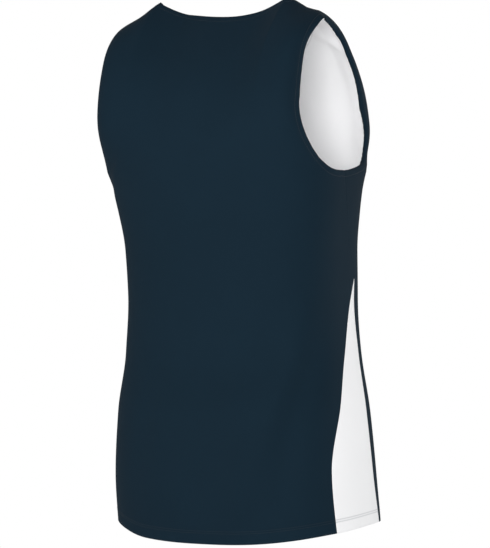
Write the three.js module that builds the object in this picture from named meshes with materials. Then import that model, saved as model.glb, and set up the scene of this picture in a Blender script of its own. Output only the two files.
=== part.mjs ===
// Sleeveless basketball jersey, worn shape with no wearer, two cloth layers.
// Millimetres, +Z up, front towards -Y, wearer's left towards +X.
// The origin is midway between the shoulder straps, where a wearer's shoulders hold it up.
import * as THREE from 'three';
import { mergeVertices } from 'three/addons/utils/BufferGeometryUtils.js';

// Cloth walls, measured inwards from the outside of the garment
const CLOTH = 1.2;
const LAYER_GAP = 0.3;
const SEAM_GAP = 0.3;

// Heights of the cut
const CHEST_Z = -232;
const HEM_BACK_Z = -734.5;
const HEM_SIDE_RISE = 20;
const HEM_FRONT_RISE = 24;

// Rings round the body, each a squared oval whose widest line leans forwards down the body
const BACK_POWER = 2.5;
const FRONT_POWER = 3;
const RINGS = [
  { z: -745, half_width: 184, side_y: -62, back_depth: 116, front_depth: 134 },
  { z: -640, half_width: 181, side_y: -57, back_depth: 133, front_depth: 119 },
  { z: -560, half_width: 176, side_y: -54, back_depth: 128, front_depth: 110 },
  { z: -480, half_width: 166, side_y: -49, back_depth: 108, front_depth: 104 },
  { z: -400, half_width: 159, side_y: -45, back_depth: 109, front_depth: 114 },
  { z: -340, half_width: 160, side_y: -38, back_depth: 106, front_depth: 121 },
  { z: -285, half_width: 168, side_y: -27, back_depth: 98, front_depth: 129 },
  { z: CHEST_Z, half_width: 178, side_y: -18, back_depth: 104, front_depth: 138 },
];
const CHEST_HALF_WIDTH = RINGS[RINGS.length - 1].half_width;
const CHEST_SIDE_Y = RINGS[RINGS.length - 1].side_y;

// Side insert: the depth of its back and front seams at each height, closing at the apex
const APEX_Z = -375;
const KINK_Z = -636;
const SEAMS = [
  { z: -745, back_y: -10, front_y: -124 },
  { z: KINK_Z, back_y: 4, front_y: -97 },
  { z: -540, back_y: -20, front_y: -86 },
  { z: -420, back_y: -64, front_y: -82 },
  { z: APEX_Z, back_y: -84, front_y: -84 },
];
const INSERT_TOP_DROP = 5;

// Shoulder seam, from the neck point out and down to the tip
const NECK_X = 100;
const NECK_Z = 2;
const NECK_RISE = 0.12;
const TIP_X = 156;
const TIP_Y = -17;
const TIP_Z = -25;
const RIDGE_SAG = 3;

// Above the chest ring the outline narrows and grows squarer within this share of the arch
const YOKE_HALF_WIDTH = 162;
const YOKE_POWER = 5;
const YOKE_Q = 0.3;

// How the cloth arches from the chest ring over the shoulder, at the centre and on the strap.
// lift is how far up the arch leaves the ring, end how far out it comes back to the shoulder seam.
// Fullness stands the cloth off the body round one height, from one width outwards.
// arm_power rounds the foot of an armhole as an oval, and without it the foot rises evenly.
const ARCH_TOP = 0.95;
const BACK = {
  side: 1,
  lift: { centre: 0.62, strap: 0.62 },
  end: { centre: -0.5, strap: 1.1 },
  strap_from_x: 50,
  strap_to_x: 156,
  neck_q: 0.66,
  neck_power: 1.85,
  arm_x: 157.5,
  arm_q: 0.27,
  arm_power: 1.5,
  fullness: { depth: 7, z: -170, reach: 85, from_x: 90, width: 65 },
};
const FRONT = {
  side: -1,
  lift: { centre: 0.55, strap: 0.5 },
  end: { centre: 0.8, strap: 0.38 },
  strap_from_x: 122,
  strap_to_x: 160,
  neck_q: 0.49,
  neck_power: 2.1,
  arm_x: 160,
  arm_q: 0.12,
  fullness: { depth: 25, z: -140, reach: 120, from_x: -1, width: 1 },
};
const ARM_TOP_Q = 0.6;
const SIDE_FADE_P = 0.15;

// Steps of each panel: rows up the body, columns across half a panel, columns across half an insert
const ROWS_HEM_TO_KINK = 3;
const ROWS_KINK_TO_APEX = 7;
const ROWS_APEX_TO_CHEST = 5;
const ROWS_CHEST_TO_NECK = 7;
const ROWS_NECK_TO_SHOULDER = 9;
const PANEL_COLUMNS = 11;
const INSERT_COLUMNS = 2;
const ARM_SHARE_BELOW_NECK = 0.8;
const ARM_ROW_POWER = 1.5;
const NECK_ROW_POWER = 1.6;
const PROBE = 0.002;
const RING_PROBE = 0.5;
const SEAM_PROBE = 0.0005;

const NAVY = new THREE.MeshStandardMaterial({ color: 0x192a36, roughness: 0.85, metalness: 0 });
const WHITE = new THREE.MeshStandardMaterial({ color: 0xe7e8ea, roughness: 0.85, metalness: 0 });

const clamp = (value, low, high) => Math.min(Math.max(value, low), high);
const mix = (a, b, t) => a + (b - a) * t;
const signedPower = (value, power) => Math.sign(value) * Math.abs(value) ** power;

function smooth(t) {
  const u = clamp(t, 0, 1);
  return u * u * (3 - 2 * u);
}

// Slopes of a curve that passes through a table's rows and never overshoots them
function rowSlopes(table, column) {
  const steps = table.slice(1).map((row, i) => row.z - table[i].z);
  const rises = table.slice(1).map((row, i) => (row[column] - table[i][column]) / steps[i]);
  return table.map((row, i) => {
    if (i === 0) return rises[0];
    if (i === table.length - 1) return rises[i - 1];
    if (rises[i - 1] * rises[i] <= 0) return 0;
    const below = 2 * steps[i] + steps[i - 1];
    const above = steps[i] + 2 * steps[i - 1];
    return (below + above) / (below / rises[i - 1] + above / rises[i]);
  });
}

function curveThrough(table, column) {
  const slopes = rowSlopes(table, column);
  return (height) => {
    const z = clamp(height, table[0].z, table[table.length - 1].z);
    let i = 0;
    while (i < table.length - 2 && z >= table[i + 1].z) i += 1;
    const step = table[i + 1].z - table[i].z;
    const t = (z - table[i].z) / step;
    const start = table[i][column] * (1 + 2 * t) + step * slopes[i] * t;
    const end = table[i + 1][column] * (3 - 2 * t) + step * slopes[i + 1] * (t - 1);
    return start * (1 - t) ** 2 + end * t ** 2;
  };
}

const halfWidthAt = curveThrough(RINGS, 'half_width');
const sideYAt = curveThrough(RINGS, 'side_y');
const backDepthAt = curveThrough(RINGS, 'back_depth');
const frontDepthAt = curveThrough(RINGS, 'front_depth');
const backSeamYAt = curveThrough(SEAMS, 'back_y');
const frontSeamYAt = curveThrough(SEAMS, 'front_y');

// A chart position past the side (p over 1) lies on the other half of the ring
function isBehind(panel, p) {
  return (Math.cos(Math.PI * p / 2) >= 0) === (panel === BACK);
}

function hemHeight(panel, p) {
  const sideways = Math.sin(Math.PI * p / 2) ** 2;
  const centre = isBehind(panel, p) ? 0 : HEM_FRONT_RISE;
  return HEM_BACK_Z + mix(centre, HEM_SIDE_RISE, sideways);
}

// Height on a panel below the chest ring: q runs from -1 at the hem to 0 at the ring
function bodyHeight(panel, p, q) {
  return mix(hemHeight(panel, p), CHEST_Z, 1 + Math.min(q, 0));
}

function shoulderRidge(x) {
  const out = (Math.abs(x) - NECK_X) / (TIP_X - NECK_X);
  const sag = RIDGE_SAG * 4 * out * (1 - out);
  if (out > 0) return { y: TIP_Y * out, z: mix(NECK_Z, TIP_Z, out) - sag };
  return { y: 0, z: NECK_Z + (NECK_X - Math.abs(x)) * NECK_RISE };
}

function strapPull(panel, name, x) {
  const strap = smooth((Math.abs(x) - panel.strap_from_x) / (panel.strap_to_x - panel.strap_from_x));
  return mix(panel[name].centre, panel[name].strap, strap);
}

function fullness(panel, x, z, p) {
  const { depth, z: middle, reach, from_x: fromX, width } = panel.fullness;
  const away = clamp((z - middle) / reach, -1, 1);
  const sideways = smooth((Math.abs(x) - fromX) / width) * smooth((1 - p) / SIDE_FADE_P);
  return panel.side * depth * (1 - away ** 2) ** 2 * sideways;
}

// Share of a ring's depth at a share of its half width
function ovalDepth(across, power) {
  return (1 - clamp(Math.abs(across), 0, 1) ** power) ** (1 / power);
}

function yokeHalfWidth(q) {
  return mix(CHEST_HALF_WIDTH, YOKE_HALF_WIDTH, smooth(q / YOKE_Q));
}

// Point of the ring at a height, p of the way from the centre line to the side and on past it
function ringPoint(panel, p, z) {
  const behind = isBehind(panel, p);
  const power = behind ? BACK_POWER : FRONT_POWER;
  const depth = behind ? backDepthAt(z) : frontDepthAt(z);
  const x = halfWidthAt(z) * signedPower(Math.sin(Math.PI * p / 2), 2 / power);
  const out = signedPower(Math.cos(Math.PI * p / 2), 2 / power);
  return new THREE.Vector3(x, sideYAt(z) + panel.side * depth * out, z);
}

// The garment's outside. p runs from the centre line (0) to the side (1) and on past it.
// q runs from the hem (-1) through the chest ring (0) to the shoulder seam (1) and over it.
function surface(panel, p, q) {
  if (q > 1) return surface(panel === BACK ? FRONT : BACK, acrossShoulder(panel, p), 2 - q);
  if (q <= 0) {
    const point = ringPoint(panel, p, bodyHeight(panel, p, q));
    point.y += fullness(panel, point.x, point.z, p);
    return point;
  }
  const ring = ringPoint(panel, p, CHEST_Z);
  const below = ringPoint(panel, p, CHEST_Z - RING_PROBE);
  const lean = (ring.y - below.y) / RING_PROBE;
  const power = isBehind(panel, p) ? BACK_POWER : FRONT_POWER;
  const depth = isBehind(panel, p) ? backDepthAt(CHEST_Z) : frontDepthAt(CHEST_Z);
  const across = ring.x / CHEST_HALF_WIDTH;
  const squarer = mix(power, YOKE_POWER, smooth(q / YOKE_Q));
  const facing = Math.sign(ring.y - CHEST_SIDE_Y);
  const rimY = CHEST_SIDE_Y + facing * depth * ovalDepth(across, squarer);

  const x = across * yokeHalfWidth(q);
  const ridge = shoulderRidge(x);
  const rise = ridge.z - CHEST_Z;
  const lift = strapPull(panel, 'lift', x) * rise;
  const start = 3 * (1 - q) ** 2 * q;
  const end = 3 * (1 - q) * q ** 2;
  const leanY = rimY + lean * lift;
  const endY = mix(ridge.y, rimY, strapPull(panel, 'end', x));
  const y = (1 - q) ** 3 * rimY + start * leanY + end * endY + q ** 3 * ridge.y;
  const z = CHEST_Z + start * lift + (end * ARCH_TOP + q ** 3) * rise;
  return new THREE.Vector3(x, y + fullness(panel, x, z, p), z);
}

// p on the other panel's chart at the same distance from the centre line
function acrossShoulder(panel, p) {
  const [here, there] = panel === BACK ? [BACK_POWER, FRONT_POWER] : [FRONT_POWER, BACK_POWER];
  return 2 / Math.PI * Math.asin(signedPower(Math.sin(Math.PI * p / 2), there / here));
}

function outwardNormal(panel, p, q) {
  const across = surface(panel, p + PROBE, q).sub(surface(panel, p - PROBE, q));
  const upwards = surface(panel, p, q + PROBE).sub(surface(panel, p, Math.max(q - PROBE, -1)));
  return across.cross(upwards).multiplyScalar(-panel.side).normalize();
}

// Chart positions of the cut lines
function widthToChart(panel, x, q) {
  const power = panel === BACK ? BACK_POWER : FRONT_POWER;
  return 2 / Math.PI * Math.asin(clamp(x / yokeHalfWidth(q), 0, 1) ** (power / 2));
}

function chartToWidth(panel, p, q) {
  const power = panel === BACK ? BACK_POWER : FRONT_POWER;
  return yokeHalfWidth(q) * Math.sin(Math.PI * p / 2) ** (2 / power);
}

function armholePoint(panel, q) {
  const down = 1 - clamp(q / panel.arm_q, 0, 1);
  const power = panel.arm_power;
  const scoop = power ? (1 - down ** power) ** (1 / power) : smooth(1 - down);
  const lower = mix(CHEST_HALF_WIDTH, panel.arm_x, scoop);
  const upper = mix(panel.arm_x, TIP_X, smooth((q - ARM_TOP_Q) / (1 - ARM_TOP_Q)));
  return { p: widthToChart(panel, q < panel.arm_q ? lower : upper, q), q };
}

function necklinePoint(panel, s) {
  const x = NECK_X * (1 - (1 - s) ** panel.neck_power) ** (1 / panel.neck_power);
  const q = mix(panel.neck_q, 1, s);
  return { p: widthToChart(panel, x, q), q };
}

// p on the back panel's chart of the point of a ring that lies at the given depth
function depthToChart(z, y) {
  const sideY = sideYAt(z);
  const behind = y > sideY;
  const share = clamp(Math.abs(y - sideY) / (behind ? backDepthAt(z) : frontDepthAt(z)), 0, 1);
  const p = 2 / Math.PI * Math.acos(share ** ((behind ? BACK_POWER : FRONT_POWER) / 2));
  return behind ? p : 2 - p;
}

// A line up the side, as p on a panel's own chart: 'back' and 'front' are the insert's seams
function sideLine(panel, line, q) {
  let p = 1;
  for (let pass = 0; pass < 5; pass += 1) {
    const z = bodyHeight(panel, p, q);
    const above = clamp((z - APEX_Z) / (CHEST_Z - APEX_Z), 0, 1);
    const plain = mix(SEAMS[SEAMS.length - 1].back_y, CHEST_SIDE_Y, above);
    let y = plain;
    if (z < APEX_Z && line === 'back') y = backSeamYAt(z);
    if (z < APEX_Z && line === 'front') y = frontSeamYAt(z);
    if (z < APEX_Z && line === 'middle') y = (backSeamYAt(z) + frontSeamYAt(z)) / 2;
    const onBack = depthToChart(z, y);
    p = panel === BACK ? onBack : 2 - onBack;
  }
  return p;
}

// Moves a chart position sideways by a real distance along the cloth
function slide(panel, p, q, distance) {
  const speed = surface(panel, p + SEAM_PROBE, q).distanceTo(surface(panel, p - SEAM_PROBE, q));
  return p + distance * 2 * SEAM_PROBE / speed;
}

function evenSteps(from, to, count) {
  return Array.from({ length: count }, (unused, i) => mix(from, to, (i + 1) / count));
}

function heightToRow(z) {
  const hemSide = HEM_BACK_Z + HEM_SIDE_RISE;
  return (z - hemSide) / (CHEST_Z - hemSide) - 1;
}

const APEX_ROW = heightToRow(APEX_Z);
const INSERT_ROWS = [
  -1,
  ...evenSteps(-1, heightToRow(KINK_Z), ROWS_HEM_TO_KINK),
  ...evenSteps(heightToRow(KINK_Z), APEX_ROW, ROWS_KINK_TO_APEX),
];
const BODY_ROWS = [...INSERT_ROWS, ...evenSteps(APEX_ROW, 0, ROWS_APEX_TO_CHEST)];

function rowBetween(from, to, count) {
  const row = [];
  for (let i = 0; i <= count; i += 1) {
    row.push({ p: mix(from.p, to.p, i / count), q: mix(from.q, to.q, i / count) });
  }
  return row;
}

// Half a panel as rows of chart positions, from the centre line or neckline out to its edge.
// facing_q is where a spot on the shoulder seam takes its normal, the same on both panels.
// The lining's half goes on under the insert to the middle of the side.
function halfPanel(panel, isLining) {
  const seam = panel === BACK ? 'back' : 'front';
  const rows = BODY_ROWS.map((q) => {
    const edge = sideLine(panel, seam, q);
    const outer = isLining ? edge : slide(panel, edge, q, -SEAM_GAP / 2);
    const row = rowBetween({ p: 0, q }, { p: outer, q }, PANEL_COLUMNS);
    if (!isLining) return row;
    const middle = slide(panel, sideLine(panel, 'middle', q), q, -SEAM_GAP / 2);
    const under = rowBetween({ p: Math.min(edge, middle), q }, { p: middle, q }, INSERT_COLUMNS);
    row[PANEL_COLUMNS] = under[0];
    return row.concat(under.slice(1));
  });
  const pad = isLining ? INSERT_COLUMNS : 0;
  const addUpperRow = (inner, armhole, evenWidths) => {
    const row = rowBetween(inner, armhole, PANEL_COLUMNS);
    row.forEach((spot, i) => {
      const from = chartToWidth(panel, inner.p, inner.q);
      const x = mix(from, chartToWidth(panel, armhole.p, armhole.q), i / PANEL_COLUMNS);
      spot.p = mix(spot.p, widthToChart(panel, x, spot.q), evenWidths);
    });
    for (let i = 0; i < pad; i += 1) row.push({ ...row[PANEL_COLUMNS] });
    rows.push(row);
  };
  const armShare = panel.neck_q * ARM_SHARE_BELOW_NECK;
  for (const s of evenSteps(0, 1, ROWS_CHEST_TO_NECK)) {
    const low = s ** ARM_ROW_POWER;
    addUpperRow({ p: 0, q: panel.neck_q * low }, armholePoint(panel, armShare * low), 0);
  }
  for (const s of evenSteps(0, 1, ROWS_NECK_TO_SHOULDER)) {
    const high = s ** NECK_ROW_POWER;
    addUpperRow(necklinePoint(panel, high), armholePoint(panel, mix(armShare, 1, high)), high);
  }
  for (const spot of rows[rows.length - 1]) {
    const step = surface(panel, spot.p, 1).distanceTo(surface(panel, spot.p, 1 - SEAM_PROBE));
    spot.q = 1 - SEAM_GAP / 2 * SEAM_PROBE / step;
    spot.facing_q = 1;
  }
  return rows;
}

// An insert on the back panel's chart, from its back seam round to its front seam
function insertRows() {
  const rows = INSERT_ROWS.slice(0, -1);
  rows.push(heightToRow(APEX_Z - INSERT_TOP_DROP));
  return rows.map((q) => {
    const back = slide(BACK, sideLine(BACK, 'back', q), q, SEAM_GAP / 2);
    const front = slide(BACK, sideLine(BACK, 'front', q), q, -SEAM_GAP / 2);
    const middle = sideLine(BACK, 'middle', q);
    const rear = rowBetween({ p: back, q }, { p: middle, q }, INSERT_COLUMNS);
    return rear.concat(rowBetween({ p: middle, q }, { p: front, q }, INSERT_COLUMNS).slice(1));
  });
}

// A sheet holds points, outward normals and triangles; mirror is 1 or -1 for the wearer's left or right
function addToSheet(sheet, panel, rows, mirror) {
  const first = sheet.points.length;
  const width = rows[0].length;
  for (const row of rows) {
    for (const { p, q, facing_q: facingQ = q } of row) {
      const flip = new THREE.Vector3(mirror, 1, 1);
      sheet.points.push(surface(panel, p, q).multiply(flip));
      sheet.normals.push(outwardNormal(panel, p, facingQ).multiply(flip));
    }
  }
  const clockwise = mirror * panel.side < 0;
  for (let r = 0; r + 1 < rows.length; r += 1) {
    for (let c = 0; c + 1 < width; c += 1) {
      const a = first + r * width + c;
      const b = a + 1;
      const d = a + width;
      const e = d + 1;
      const faces = [[a, d, b], [b, d, e]];
      for (const [u, v, w] of faces) sheet.triangles.push(clockwise ? [u, w, v] : [u, v, w]);
    }
  }
}

function newSheet() {
  return { points: [], normals: [], triangles: [] };
}

// Joins points that coincide and drops the triangles that this closes up
function weld(sheet) {
  const known = new Map();
  const kept = newSheet();
  const renumbered = sheet.points.map((point, i) => {
    const name = point.toArray().map((value) => Math.round(value * 1000)).join(' ');
    if (!known.has(name)) {
      known.set(name, kept.points.length);
      kept.points.push(point);
      kept.normals.push(sheet.normals[i]);
    }
    return known.get(name);
  });
  for (const triangle of sheet.triangles) {
    const [a, b, c] = triangle.map((i) => renumbered[i]);
    if (a !== b && b !== c && c !== a) kept.triangles.push([a, b, c]);
  }
  return kept;
}

// A closed wall between two depths under the sheet, with a band along each free edge
function wallGeometry(looseSheet, outerDepth, innerDepth) {
  const sheet = weld(looseSheet);
  const count = sheet.points.length;
  const positions = [];
  for (const depth of [outerDepth, innerDepth]) {
    sheet.points.forEach((point, i) => {
      positions.push(...point.clone().addScaledVector(sheet.normals[i], -depth).toArray());
    });
  }
  const index = [];
  const edges = new Set();
  for (const [a, b, c] of sheet.triangles) {
    index.push(a, b, c, a + count, c + count, b + count);
    for (const edge of [[a, b], [b, c], [c, a]]) edges.add(edge.join(' '));
  }
  for (const name of edges) {
    const [a, b] = name.split(' ').map(Number);
    if (edges.has(`${b} ${a}`)) continue;
    index.push(b, a, a + count, b, a + count, b + count);
  }
  const geometry = new THREE.BufferGeometry();
  geometry.setAttribute('position', new THREE.Float32BufferAttribute(positions, 3));
  geometry.setIndex(index);
  return mergeVertices(geometry, 1e-4);
}

function pieceMesh(name, geometry, material) {
  const mesh = new THREE.Mesh(geometry, material);
  mesh.name = name;
  return mesh;
}

function panelMesh(name, panel, isLining) {
  const sheet = newSheet();
  const rows = halfPanel(panel, isLining);
  addToSheet(sheet, panel, rows, 1);
  addToSheet(sheet, panel, rows, -1);
  const depth = isLining ? CLOTH + LAYER_GAP : 0;
  return pieceMesh(name, wallGeometry(sheet, depth, depth + CLOTH), isLining ? WHITE : NAVY);
}

function insertMesh(name, mirror) {
  const sheet = newSheet();
  addToSheet(sheet, BACK, insertRows(), mirror);
  return pieceMesh(name, wallGeometry(sheet, 0, CLOTH), WHITE);
}

const jersey = new THREE.Group();
jersey.add(
  panelMesh('back_outer', BACK, false),
  panelMesh('front_outer', FRONT, false),
  insertMesh('side_insert_left', 1),
  insertMesh('side_insert_right', -1),
  panelMesh('back_inner', BACK, true),
  panelMesh('front_inner', FRONT, true),
);

export default jersey;
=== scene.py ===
import math

import bpy
import numpy as np
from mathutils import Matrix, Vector, kdtree


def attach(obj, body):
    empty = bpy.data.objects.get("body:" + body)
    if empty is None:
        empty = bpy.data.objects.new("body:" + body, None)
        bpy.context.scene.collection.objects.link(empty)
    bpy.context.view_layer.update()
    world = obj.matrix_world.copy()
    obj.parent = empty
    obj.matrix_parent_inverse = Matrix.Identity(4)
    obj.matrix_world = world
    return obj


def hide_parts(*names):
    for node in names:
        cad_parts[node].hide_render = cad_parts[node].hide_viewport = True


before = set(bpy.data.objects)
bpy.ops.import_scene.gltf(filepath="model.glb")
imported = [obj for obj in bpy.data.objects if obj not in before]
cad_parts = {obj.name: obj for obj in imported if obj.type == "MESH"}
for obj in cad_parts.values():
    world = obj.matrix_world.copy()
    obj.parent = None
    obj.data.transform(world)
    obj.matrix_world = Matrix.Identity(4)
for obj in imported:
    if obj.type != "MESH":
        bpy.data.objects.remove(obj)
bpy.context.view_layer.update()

# The jersey's form, in millimetres, with the same named sizes as its solids. RIDGE_ROUND is the
# only one added here: it rounds the shoulder line where it crosses the middle of the back.
CHEST_Z = -232
HEM_BACK_Z = -734.5
HEM_SIDE_RISE = 20
HEM_FRONT_RISE = 24
BACK_POWER = 2.5
FRONT_POWER = 3
RINGS = [
    {"z": -745, "half_width": 184, "side_y": -62, "back_depth": 116, "front_depth": 134},
    {"z": -640, "half_width": 181, "side_y": -57, "back_depth": 133, "front_depth": 119},
    {"z": -560, "half_width": 176, "side_y": -54, "back_depth": 128, "front_depth": 110},
    {"z": -480, "half_width": 166, "side_y": -49, "back_depth": 108, "front_depth": 104},
    {"z": -400, "half_width": 159, "side_y": -45, "back_depth": 109, "front_depth": 114},
    {"z": -340, "half_width": 160, "side_y": -38, "back_depth": 106, "front_depth": 121},
    {"z": -285, "half_width": 168, "side_y": -27, "back_depth": 98, "front_depth": 129},
    {"z": CHEST_Z, "half_width": 178, "side_y": -18, "back_depth": 104, "front_depth": 138},
]
CHEST_HALF_WIDTH = RINGS[-1]["half_width"]
CHEST_SIDE_Y = RINGS[-1]["side_y"]
APEX_Z = -375
SEAMS = [
    {"z": -745, "back_y": -10, "front_y": -124},
    {"z": -636, "back_y": 4, "front_y": -97},
    {"z": -540, "back_y": -20, "front_y": -86},
    {"z": -420, "back_y": -64, "front_y": -82},
    {"z": APEX_Z, "back_y": -84, "front_y": -84},
]
NECK_X = 100
NECK_Z = 2
NECK_RISE = 0.12
RIDGE_ROUND = 15
TIP_X = 156
TIP_Y = -17
TIP_Z = -25
RIDGE_SAG = 3
YOKE_HALF_WIDTH = 162
YOKE_POWER = 5
YOKE_Q = 0.3
ARCH_TOP = 0.95
# arm_power rounds the foot of an armhole as an oval, and without it the foot rises evenly
BACK = {
    "side": 1,
    "lift": {"centre": 0.62, "strap": 0.62},
    "end": {"centre": -0.5, "strap": 1.1},
    "strap_from_x": 50,
    "strap_to_x": 156,
    "neck_q": 0.66,
    "neck_power": 1.85,
    "arm_x": 157.5,
    "arm_q": 0.27,
    "arm_power": 1.5,
    "fullness": {"depth": 7, "z": -170, "reach": 85, "from_x": 90, "width": 65},
}
FRONT = {
    "side": -1,
    "lift": {"centre": 0.55, "strap": 0.5},
    "end": {"centre": 0.8, "strap": 0.38},
    "strap_from_x": 122,
    "strap_to_x": 160,
    "neck_q": 0.49,
    "neck_power": 2.1,
    "arm_x": 160,
    "arm_q": 0.12,
    "fullness": {"depth": 25, "z": -140, "reach": 120, "from_x": -1, "width": 1},
}
ARM_TOP_Q = 0.6
SIDE_FADE_P = 0.15

# Cloth: how thick the knit is, how deep each layer's outside lies under the form's outside, how
# far a free edge swells, how wide a seam opens, and how far the white insert ends below its apex
CLOTH_THICK = 0.9
OUTER_DEPTH = 0.1
LINING_DEPTH = 1.7
EDGE_ROUND = 0.35
SEAM_OPENING = 0.6
INSERT_TOP_DROP = 3
MM_PER_METRE = 1000
WELDS_PER_MM = 200

# Small steps that measure a slope: across the chart, along a seam, and in millimetres below the
# chest. A side seam's place in the chart is found in a few passes.
PROBE = 0.002
SLIDE_PROBE = 0.0005
RING_PROBE = 0.5
SEAM_PASSES = 5

# Rows and columns of each fine sheet, and the powers that crowd them towards edges and seams
BODY_STEPS = 150
YOKE_STEPS = 60
STRAP_STEPS = 70
HALF_COLUMNS = 62
INSERT_COLUMNS = 22
UNDER_COLUMNS = 10
COLUMN_POWER = 1.35
ARM_SHARE_BELOW_NECK = 0.8
ARM_ROW_POWER = 1.5
NECK_ROW_POWER = 1.6

# Places along each opening's edge, closest at its foot, and the mark of a place far from the hem
EDGE_SAMPLES = np.linspace(0, 1, 260) ** 1.5
FAR_FROM_HEM = 500

# Creases, as soft ridges (height over 0) and troughs (under 0) between two places on one side.
# face is "back" or "front", and places are x and z, all in millimetres.
CREASES = [
    {"face": "back", "x0": -138, "z0": -425, "x1": -80, "z1": -660, "width": 15, "height": 3.4},
    {"face": "back", "x0": -154, "z0": -470, "x1": -112, "z1": -690, "width": 17, "height": -3.4},
    {"face": "back", "x0": -64, "z0": -520, "x1": -60, "z1": -690, "width": 13, "height": 2.4},
    {"face": "back", "x0": -104, "z0": -430, "x1": -50, "z1": -600, "width": 13, "height": -2.0},
    {"face": "back", "x0": 128, "z0": -205, "x1": 172, "z1": -262, "width": 9, "height": -2.2},
    {"face": "back", "x0": 60, "z0": -470, "x1": 104, "z1": -650, "width": 16, "height": -1.4},
    {"face": "back", "x0": 20, "z0": -590, "x1": 30, "z1": -705, "width": 15, "height": 1.0},
    {"face": "front", "x0": 40, "z0": -420, "x1": 74, "z1": -660, "width": 15, "height": -1.7},
    {"face": "front", "x0": -30, "z0": -470, "x1": -52, "z1": -700, "width": 16, "height": 1.4},
    {"face": "front", "x0": -92, "z0": -400, "x1": -132, "z1": -600, "width": 13, "height": -1.5},
    {"face": "front", "x0": 96, "z0": -380, "x1": 136, "z1": -560, "width": 14, "height": 1.3},
    {"face": "front", "x0": -112, "z0": -60, "x1": -128, "z1": -200, "width": 11, "height": -1.8},
    {"face": "front", "x0": 112, "z0": -66, "x1": 130, "z1": -206, "width": 12, "height": -1.6},
    {"face": "front", "x0": -84, "z0": -33, "x1": -136, "z1": -75, "width": 7, "height": -2.0},
    {"face": "front", "x0": 118, "z0": -196, "x1": 168, "z1": -270, "width": 10, "height": -1.9},
]
# Each crease fades over this share of its length at both ends, wanders sideways in slow waves, and
# leaves cloth that faces sideways alone
CREASE_FADE = 0.25
CREASE_WANDER = 3.0
CREASE_WAVES = 5.1
CREASE_FACING = 1.6

# The cloth turns in along the armholes: by how many degrees at the edge, on the back and on the
# front, and how far from the edge the turn starts. Between two places in y the front's turn takes
# over from the back's.
ROLLS = [
    {"z": -236, "back": 8, "front": 8, "reach": 16},
    {"z": -225, "back": 22, "front": 16, "reach": 16},
    {"z": -214, "back": 36, "front": 76, "reach": 16},
    {"z": -172, "back": 16, "front": 68, "reach": 16},
    {"z": -144, "back": 12, "front": 46, "reach": 16},
    {"z": -110, "back": 18, "front": 40, "reach": 16},
    {"z": -74, "back": 24, "front": 72, "reach": 17},
    {"z": -50, "back": 20, "front": 85, "reach": 19},
    {"z": -38, "back": 15, "front": 86, "reach": 19},
    {"z": -25, "back": 12, "front": 88, "reach": 19},
]
BACK_ROLL_TO_Y = 7
FRONT_ROLL_FROM_Y = -17

# It hangs a little unevenly. Each row moves one place by some millimetres along an axis, and each
# fade goes from no move at its first coordinate to the full move at its second.
AXES = {"x": 0, "y": 1, "z": 2}
HANGS = [
    # both strap tips, and how far the right one stands out
    {"axis": "z", "move": -1, "fades": [("x", 95, 155), ("z", -160, -30)]},
    {"axis": "z", "move": 4, "fades": [("x", -112, -156), ("z", -160, -30), ("y", 32, -4)]},
    {"axis": "x", "move": -3, "fades": [("x", -125, -155), ("z", -75, -35)]},
    # the left half of the back neckline
    {
        "axis": "z",
        "move": 3,
        "fades": [("x", -45, 45), ("x", 128, 100), ("y", -1, 13), ("z", -75, -25)],
    },
    # the left strap in front of its seam
    {
        "axis": "z",
        "move": -5,
        "fades": [("x", 40, 80), ("x", 135, 105), ("y", 0, -14), ("z", -110, -50)],
    },
    # the left hem corner, and the right one in front
    {"axis": "z", "move": 6, "fades": [("x", 95, 170), ("z", -640, -715)]},
    {"axis": "z", "move": 5, "fades": [("x", -95, -155), ("y", -10, -110), ("z", -640, -715)]},
]

# Sewing: rows of stitches in from the neck and the armholes and up from the hem
TOPSTITCH_IN = 8.5
HEM_ROWS_UP = (15.0, 18.0)
STITCH_LENGTH = 2.4
STITCH_WIDTH = 0.55
STITCH_PITCH = 3.1
BEAD_SEGMENTS = 6
BEAD_RINGS = 4

# Sewn lines pulled into the cloth. mark and at say where they are, in millimetres, as width is.
# depth is in metres, and under 0 the cloth is raised, as along the turned edge.
# Along each line the cloth's colour is also painted darker, as shade
SEWN_LINES = [
    {"mark": "edge_mm", "at": TOPSTITCH_IN, "width": 0.9, "depth": 0.00030},
    {"mark": "edge_mm", "at": 1.2, "width": 1.0, "depth": -0.00012},
    {"mark": "hem_mm", "at": HEM_ROWS_UP[0], "width": 0.8, "depth": 0.00022},
    {"mark": "hem_mm", "at": HEM_ROWS_UP[1], "width": 0.8, "depth": 0.00022},
]

# Knit: loops to the metre, their relief in metres, the painted shade of the loops' hollows, and
# the yarn's own drift in tone
WALES_PER_METRE = 900
COURSES_PER_METRE = 1250
LOOP_LEAN = 1.2
LOOP_HEIGHT = 0.55
WALE_HEIGHT = 1.1
WALE_TOP = 0.4
WALE_ROUND = 0.2
KNIT_RELIEF = 0.0003
LOOP_PAINTED_SHADE = 0.45
YARN_LIGHT = 0.9
YARN_DRIFT = {"scale": 9.0, "detail": 3.0, "share": 0.6}
YARN_GRAIN = {"scale": 900.0, "detail": 2.0, "share": 0.4}
CLOTH_ROUGHNESS = 0.85
CLOTH_SHINE = 0.08
THREAD_ROUGHNESS = 0.6
THREAD_TWIST = 1400.0
THREAD_SHADOW = 0.8

# View, in degrees, metres and the photo's pixels
VIEW_AZIMUTH = 210
VIEW_PITCH = 0.5
VIEW_DISTANCE = 4.5
MM_PER_PIXEL = 1.36
AXIS_PIXEL = 223.5
TOP_PIXEL = 1.0
PHOTO_WIDE = 490
PHOTO_HIGH = 548
FARTHEST_SEEN = 100

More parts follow.
